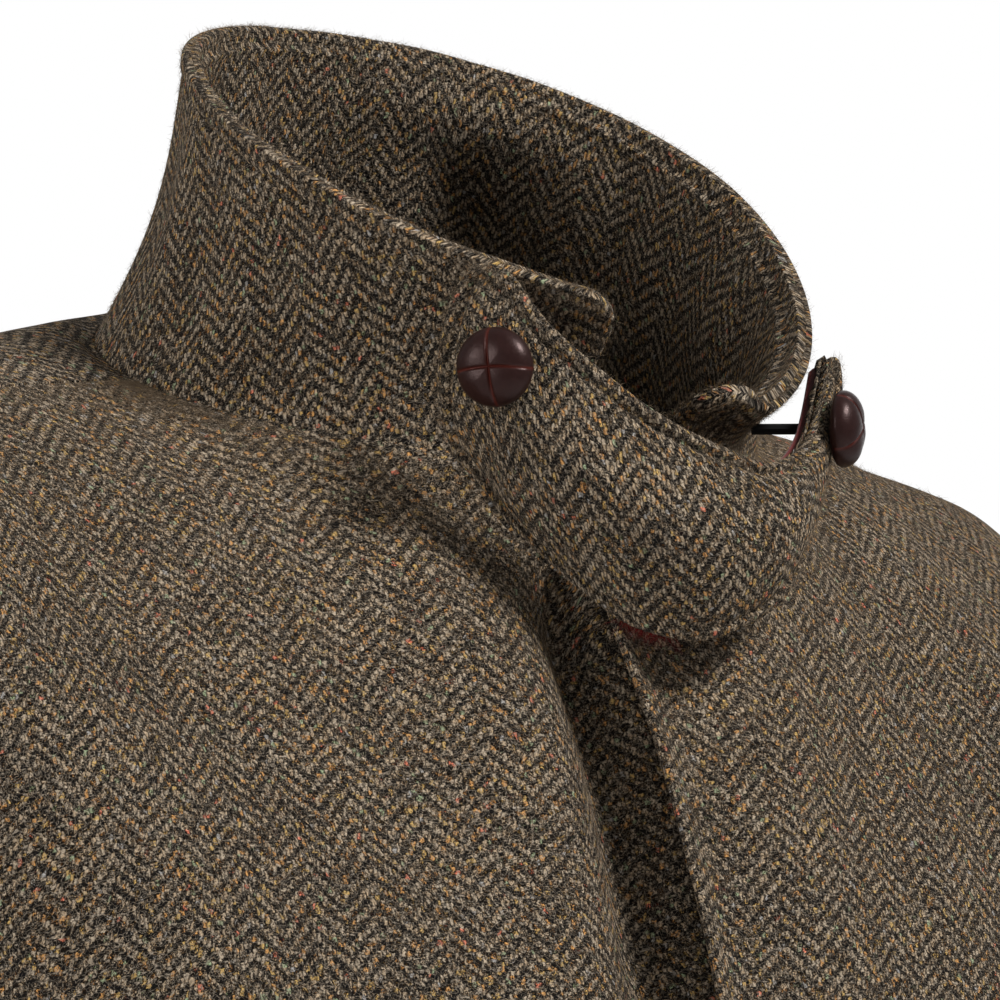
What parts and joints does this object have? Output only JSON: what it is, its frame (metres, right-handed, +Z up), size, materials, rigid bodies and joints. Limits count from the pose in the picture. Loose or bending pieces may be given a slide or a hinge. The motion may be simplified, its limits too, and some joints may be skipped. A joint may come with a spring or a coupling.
{
  "type": "tweed jacket",
  "caption": "Herringbone tweed hunting jacket, hollow as worn, with its collar turned up and a red-lined throat tab buttoned across it with leather buttons.",
  "frame": {"origin": "middle of the neck opening at the height of the neck seam's sides, where the wearer's neck holds the jacket", "axes": "+Z up, -Y the way the wearer faces, +X the wearer's left"},
  "size_m": [0.767, 0.3071, 0.8581],
  "materials": {
    "tweed": "matt woven wool",
    "red_felt": "matt felt",
    "button_leather": "polished plaited leather",
    "thread": "waxed thread"
  },
  "bodies": {
    "root": {"front_right": "tweed", "front_left": "tweed", "back": "tweed", "sleeve_right": "tweed", "sleeve_left": "tweed", "collar": "tweed", "throat_tab": "tweed", "throat_tab_lining": "red_felt", "button_right": "button_leather", "button_left": "button_leather", "front_button_1": "button_leather", "front_button_2": "button_leather", "front_button_3": "button_leather", "thread_shank": "thread"}
  },
  "joints": []
}
